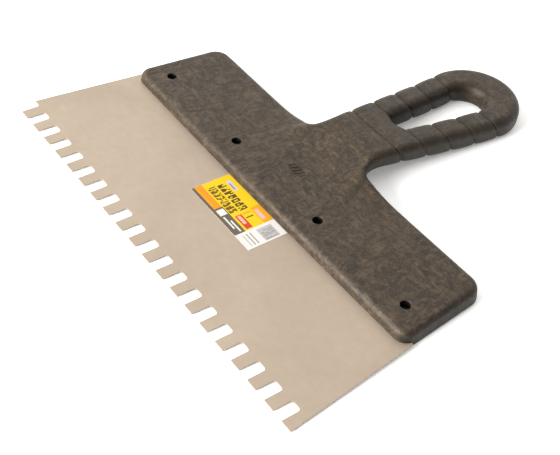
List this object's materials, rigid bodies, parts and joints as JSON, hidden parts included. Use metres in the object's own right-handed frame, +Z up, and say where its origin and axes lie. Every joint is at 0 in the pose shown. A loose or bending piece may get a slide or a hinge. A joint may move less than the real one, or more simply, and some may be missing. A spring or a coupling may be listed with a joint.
{
  "type": "notched trowel",
  "caption": "Wide notched trowel for spreading adhesive: a thin steel blade with a square-notched edge, riveted into a one-piece moulded T handle that ends in a finger loop.",
  "frame": {"origin": "centre of the bounding box's bottom face: midway along the blade and midway from the tooth tips to the end of the loop, level with the underside of the loop's end", "axes": "+X along the row of teeth, +Y from the teeth towards the end of the finger loop, +Z up out of the blade's labelled face"},
  "size_m": [0.2488, 0.2472, 0.019],
  "materials": {
    "blade_steel": "satin rolled stainless sheet",
    "handle_plastic": "matte, mottled recycled plastic",
    "label_paper": "semi-gloss printed sticker",
    "rivet_steel": "black oxide",
    "washer_steel": "black oxide"
  },
  "bodies": {
    "root": {"blade": "blade_steel", "handle": "handle_plastic", "label": "label_paper", "rivet_1": "rivet_steel", "rivet_2": "rivet_steel", "rivet_3": "rivet_steel", "rivet_4": "rivet_steel", "washer_1": "washer_steel", "washer_2": "washer_steel", "washer_3": "washer_steel", "washer_4": "washer_steel"}
  },
  "joints": []
}
